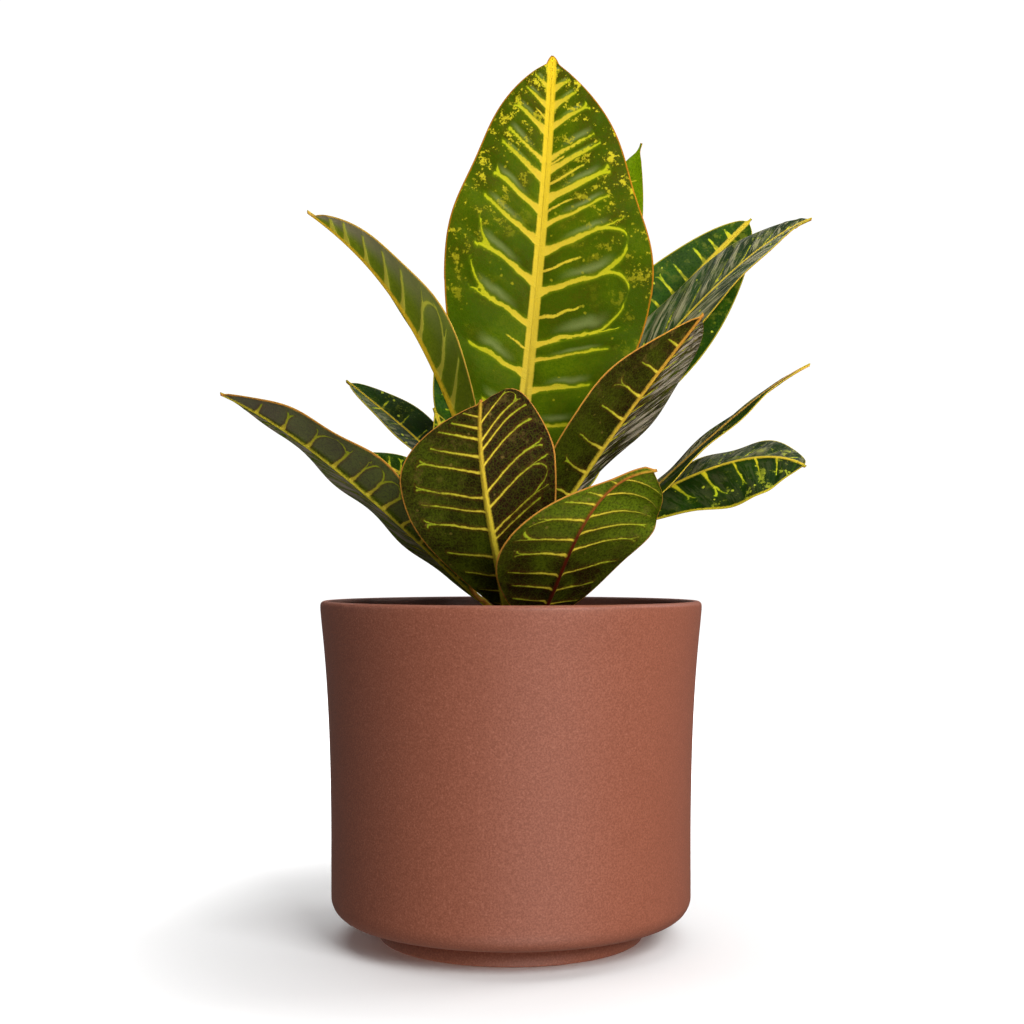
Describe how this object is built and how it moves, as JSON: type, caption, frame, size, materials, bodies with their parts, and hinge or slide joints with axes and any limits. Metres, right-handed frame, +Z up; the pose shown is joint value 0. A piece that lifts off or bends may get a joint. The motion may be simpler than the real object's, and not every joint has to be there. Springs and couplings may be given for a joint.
{
  "type": "potted croton",
  "caption": "Leafy croton house plant with broad yellow-veined leaves on a short stem, in a matt terracotta cover pot filled with soil.",
  "frame": {"origin": "centre of the pot's foot, on the surface that it stands on", "axes": "+Z up along the pot; the pictured side faces -Y, with +X to its right"},
  "size_m": [0.2204, 0.1782, 0.3331],
  "materials": {
    "pot": "matt terracotta brown",
    "soil": "peat and coir, crumbly",
    "stem": "green-brown young bark",
    "leaf_bright": "glossy bright green with yellow veins",
    "leaf_dark": "glossy dark green with yellow veins",
    "leaf_brown": "satin brown-green underside with yellow veins",
    "leaf_olive": "satin olive underside with yellow veins"
  },
  "bodies": {
    "root": {"pot": "pot", "soil": "soil", "stem": "stem", "leaf_top": "leaf_bright", "leaf_behind_top": "leaf_bright", "leaf_upper_right": "leaf_dark", "leaf_upper_right_outer": "leaf_dark", "leaf_front_of_right": "leaf_brown", "leaf_right_narrow": "leaf_olive", "leaf_right_low": "leaf_dark", "leaf_upper_left": "leaf_olive", "leaf_left_small": "leaf_dark", "leaf_left_long": "leaf_brown", "leaf_front_left": "leaf_brown", "leaf_front_right": "leaf_brown", "leaf_left_inner": "leaf_dark", "leaf_left_young": "leaf_dark", "leaf_left_hidden": "leaf_dark", "leaf_rear_high": "leaf_bright", "leaf_rear_middle": "leaf_dark", "leaf_rear_left": "leaf_dark", "leaf_rear_right": "leaf_dark"}
  },
  "joints": []
}
